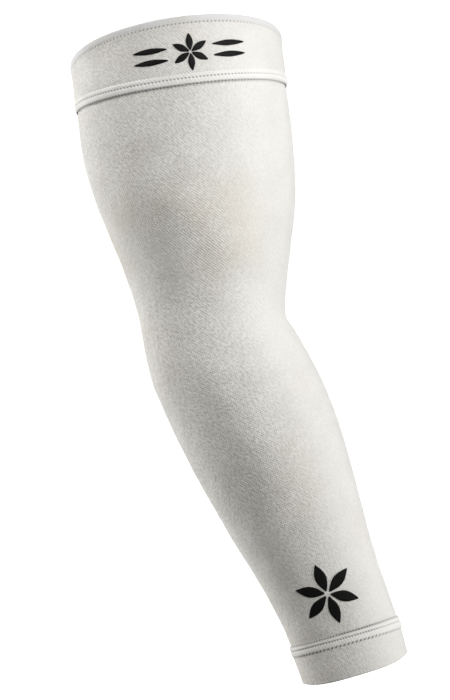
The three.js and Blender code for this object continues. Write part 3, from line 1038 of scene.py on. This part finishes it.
# Painted shadow under the upper seam's lower edge, with painted shade in the tube's needle holes
tube_hole_shade = needle_row(SEAM_STITCHES, TUBE_HOLES_AT, half_width=0.0011, line=0.5, darkness=0.4)
body_knit = cloth_material("body_knit", sewing=[tube_hole_shade])

# Painted shade in the needle holes under the hem
under_hem_shade = needle_row(HEM_STITCHES, EDGE_HOLES_IN, half_width=0.0009, line=0.15, darkness=0.7)
upper_cuff_knit = cloth_material("upper_cuff_knit", depth=0.6, bump=0.00036, sewing=[under_hem_shade])

# Painted shade in the slanted needle holes under the lower seam
under_seam_shade = needle_row(WRIST_EDGE_STITCHES, 0.0, half_width=0.0009, line=0.1, darkness=0.85, slant=-0.3)
lower_cuff_knit = cloth_material("lower_cuff_knit", bump=0.0004, rising=0.2, sewing=[under_seam_shade])

# Painted shade in the needle holes along the hem's lower edge
hem_edge_shade = needle_row(HEM_STITCHES, HEM_HEIGHT, half_width=0.0006, line=0.1, darkness=0.5)
hem_elastic = cloth_material(
    "hem_elastic", yarn=HEM_YARN, depth=0.3, bump=0.0001, dapple=0.8, stitches=900, sheen=0.1,
    sewing=[hem_edge_shade],
)

# Painted shade in the upper seam's three rows of needle holes, and a painted shadow along its lower edge
upper_hole_shade = [
    needle_row(SEAM_STITCHES, EDGE_HOLES_IN, half_width=0.0005, line=0.0, darkness=0.4),
    needle_row(
        SEAM_STITCHES, UPPER_ROW * SEAM_WIDTH, half_width=0.0006, line=0.12, darkness=0.75, slant=0.1
    ),
    needle_row(SEAM_STITCHES, SEAM_WIDTH, half_width=0.0009, line=0.35, darkness=0.7, slant=0.2),
]
# The upper seam's ridges, their paler yarn partly a painted highlight
upper_seam_knit = cloth_material(
    "upper_seam_knit", yarn=RIDGE_YARN_AND_HIGHLIGHT, depth=0.2, bump=0.00025, dapple=0.6, stitches=700, sheen=0.35,
    sewing=upper_hole_shade,
)

# Painted shade in the lower seam's three rows of needle holes and along the lines between them
lower_hole_shade = [
    needle_row(WRIST_STITCHES, LOWER_HOLES_IN, half_width=0.0009, line=0.5, darkness=1.0, slant=0.15),
    needle_row(
        WRIST_STITCHES, LOWER_ROW * LOWER_SEAM_WIDTH, half_width=0.0007, line=0.25, darkness=0.9, slant=0.1
    ),
    needle_row(
        WRIST_EDGE_STITCHES, LOWER_SEAM_WIDTH - LOWER_HOLES_IN, half_width=0.0012, line=0.15,
        darkness=0.95, slant=-0.35,
    ),
]
# The lower seam's ridges, their paler yarn partly a painted highlight
lower_seam_knit = cloth_material(
    "lower_seam_knit", yarn=RIDGE_YARN_AND_HIGHLIGHT, depth=0.25, bump=0.0003, dapple=0.6, stitches=600, sheen=0.5,
    sewing=lower_hole_shade,
)

sewing_thread = thread_material()
black_print = print_material()

# What each piece is made of, and the solids that it stands for


def dress(piece, material, slot, *nodes):
    piece.data.materials.clear()
    piece.data.materials.append(material)
    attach(piece, "root")
    if nodes:
        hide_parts(*nodes)


cuff_petals = [f"cuff_petal_{i}" for i in range(1, PETALS + 1)]
wrist_petals = [f"wrist_petal_{i}" for i in range(1, PETALS + 1)]
stroke_solids = [f"cuff_stroke_{side}_{i}" for side in ("left", "right") for i in (1, 2)]
dress(sleeve_cloth, body_knit, "white_knit", "sleeve_body")
dress(upper_cuff, upper_cuff_knit, "cuff_knit", "upper_cuff")
dress(lower_cuff, lower_cuff_knit, "cuff_knit", "lower_cuff")
dress(upper_hem, hem_elastic, "hem_elastic", "upper_hem")
dress(upper_seam, upper_seam_knit, "seam_knit", "upper_seam")
dress(lower_seam, lower_seam_knit, "seam_knit", "lower_seam")
for piece in (hem_stitches, upper_stitches, lower_stitches):
    dress(piece, sewing_thread, "seam_knit")
dress(cuff_rosette, black_print, "black_print", *cuff_petals)
dress(cuff_strokes, black_print, "black_print", *stroke_solids)
dress(wrist_rosette, black_print, "black_print", *wrist_petals)

# The camera, rolled so that the sleeve leans as in the photo, where the origin is at RIM_PIXEL

CAMERA_DISTANCE = 1.085
CAMERA_RISE = 0.0125
FRAME_HEIGHT = 0.42
SENSOR_HEIGHT = 24
ROLL = math.radians(8)
PHOTO_WIDTH = 450
PHOTO_HEIGHT = 700
RIM_PIXEL = (174.0, 41.8)
PIXELS_PER_METRE = PHOTO_HEIGHT / FRAME_HEIGHT
across = Vector((math.cos(ROLL), 0, -math.sin(ROLL)))
upwards = Vector((math.sin(ROLL), 0, math.cos(ROLL)))
towards = Vector((0, 1, 0))
right_of_middle = (RIM_PIXEL[0] - PHOTO_WIDTH / 2) / PIXELS_PER_METRE
above_middle = (PHOTO_HEIGHT / 2 - RIM_PIXEL[1]) / PIXELS_PER_METRE
eye = upwards * (CAMERA_RISE - above_middle) - across * right_of_middle - towards * CAMERA_DISTANCE

lens = bpy.data.cameras.new("studio_camera")
lens.sensor_fit = "VERTICAL"
lens.sensor_height = SENSOR_HEIGHT
lens.lens = lens.sensor_height * CAMERA_DISTANCE / FRAME_HEIGHT
lens.shift_y = -CAMERA_RISE / FRAME_HEIGHT
camera = bpy.data.objects.new("studio_camera", lens)
bpy.context.scene.collection.objects.link(camera)
camera.matrix_world = Matrix.Translation(eye) @ Matrix((across, upwards, -towards)).transposed().to_4x4()
bpy.context.scene.camera = camera

# Lights

SPOT_RADIUS = 0.08
AMBIENT_LIGHT = 0.25
AMBIENT_COLOUR = (1, 0.995, 0.98, 1)


def softbox(name, azimuth, elevation, distance, size, watts, aim):
    """A softbox round the sleeve: azimuth 0 is in front, 90 at the right."""
    azimuth = math.radians(azimuth)
    elevation = math.radians(elevation)
    level = math.cos(elevation)
    way = Vector((math.sin(azimuth) * level, -math.cos(azimuth) * level, math.sin(elevation)))
    light = bpy.data.lights.new(name, "AREA")
    light.shape = "RECTANGLE"
    light.size, light.size_y = size
    light.energy = watts
    lamp = bpy.data.objects.new(name, light)
    bpy.context.scene.collection.objects.link(lamp)
    lamp.location = Vector(aim) + way * distance
    lamp.rotation_euler = way.to_track_quat("Z", "Y").to_euler()


def spotlight(name, place, aim, watts, spread):
    """A soft-edged spot of light, spread degrees wide."""
    light = bpy.data.lights.new(name, "SPOT")
    light.energy = watts
    light.spot_size = math.radians(spread)
    light.spot_blend = 1.0
    light.shadow_soft_size = SPOT_RADIUS
    lamp = bpy.data.objects.new(name, light)
    bpy.context.scene.collection.objects.link(lamp)
    lamp.location = place
    lamp.rotation_euler = (Vector(aim) - lamp.location).to_track_quat("-Z", "Y").to_euler()


softbox("key_softbox", 73, -9.6, distance=1.5, size=(0.3, 0.6), watts=9.35, aim=(0.03, 0, -0.12))
softbox("edge_softbox", 132, 5, distance=1.2, size=(0.3, 0.7), watts=1.3, aim=(0.03, 0, -0.15))
softbox("upper_rim_softbox", -95, 42, distance=0.8, size=(0.25, 0.4), watts=4.2, aim=(0.03, 0, 0))
softbox("lower_rim_softbox", -118, -5, distance=0.8, size=(0.25, 0.4), watts=4.7, aim=(0.03, 0, -0.36))
softbox("front_softbox", 32, 36, distance=1.0, size=(0.3, 0.3), watts=3.6, aim=(0.03, 0, -0.32))
spotlight("cuff_spot", (-0.45, -0.75, 0.4), aim=(-0.03, -0.05, -0.04), watts=5.0, spread=26)
spotlight("biceps_spot", (0.45, -0.8, 0.1), aim=(0.018, -0.055, -0.1), watts=3.0, spread=13)

world = bpy.data.worlds.new("studio")
world.use_nodes = True
world.node_tree.nodes["Background"].inputs["Color"].default_value = AMBIENT_COLOUR
world.node_tree.nodes["Background"].inputs["Strength"].default_value = AMBIENT_LIGHT
bpy.context.scene.world = world

# The backdrop

FLOOR_SIZE = 8
FLOOR_LEVEL = -0.5
BACKDROP_HEIGHT = 6
SWEEP_RADIUS = 1.2
SWEEP_SEGMENTS = 16


def paper_material():
    """Bright white paper, lit evenly by itself."""
    material, _, shader = new_material("white_paper")
    shader["Base Color"].default_value = (0.9, 0.9, 0.9, 1)
    shader["Roughness"].default_value = 0.9
    shader["Emission Color"].default_value = (1, 1, 1, 1)
    shader["Emission Strength"].default_value = 1.0
    return material


def seamless_backdrop():
    """A floor swept up into a wall on every side."""
    bpy.ops.object.select_all(action="DESELECT")
    bpy.ops.mesh.primitive_plane_add(size=FLOOR_SIZE, location=(0, 0, FLOOR_LEVEL))
    backdrop = bpy.context.object
    backdrop.name = backdrop.data.name = "studio_backdrop"
    select_only(backdrop)
    bpy.ops.object.transform_apply(location=True, rotation=True, scale=True)
    bpy.ops.object.mode_set(mode="EDIT")
    bpy.ops.mesh.select_all(action="DESELECT")
    bpy.ops.object.mode_set(mode="OBJECT")
    for edge in backdrop.data.edges:
        edge.select = True
    bpy.ops.object.mode_set(mode="EDIT")
    bpy.ops.mesh.select_mode(type="EDGE")
    bpy.ops.mesh.extrude_region_move(TRANSFORM_OT_translate={"value": (0, 0, BACKDROP_HEIGHT)})
    bpy.ops.object.mode_set(mode="OBJECT")
    sweep = backdrop.modifiers.new("sweep", "BEVEL")
    sweep.width = SWEEP_RADIUS
    sweep.segments = SWEEP_SEGMENTS
    sweep.limit_method = "ANGLE"
    bpy.ops.object.modifier_apply(modifier=sweep.name)
    bpy.ops.object.shade_smooth()
    backdrop.data.materials.append(paper_material())
    backdrop.visible_diffuse = backdrop.visible_glossy = backdrop.visible_shadow = False
    return backdrop


seamless_backdrop()

bpy.context.scene.view_settings.view_transform = "Standard"
bpy.context.scene.view_settings.look = "None"
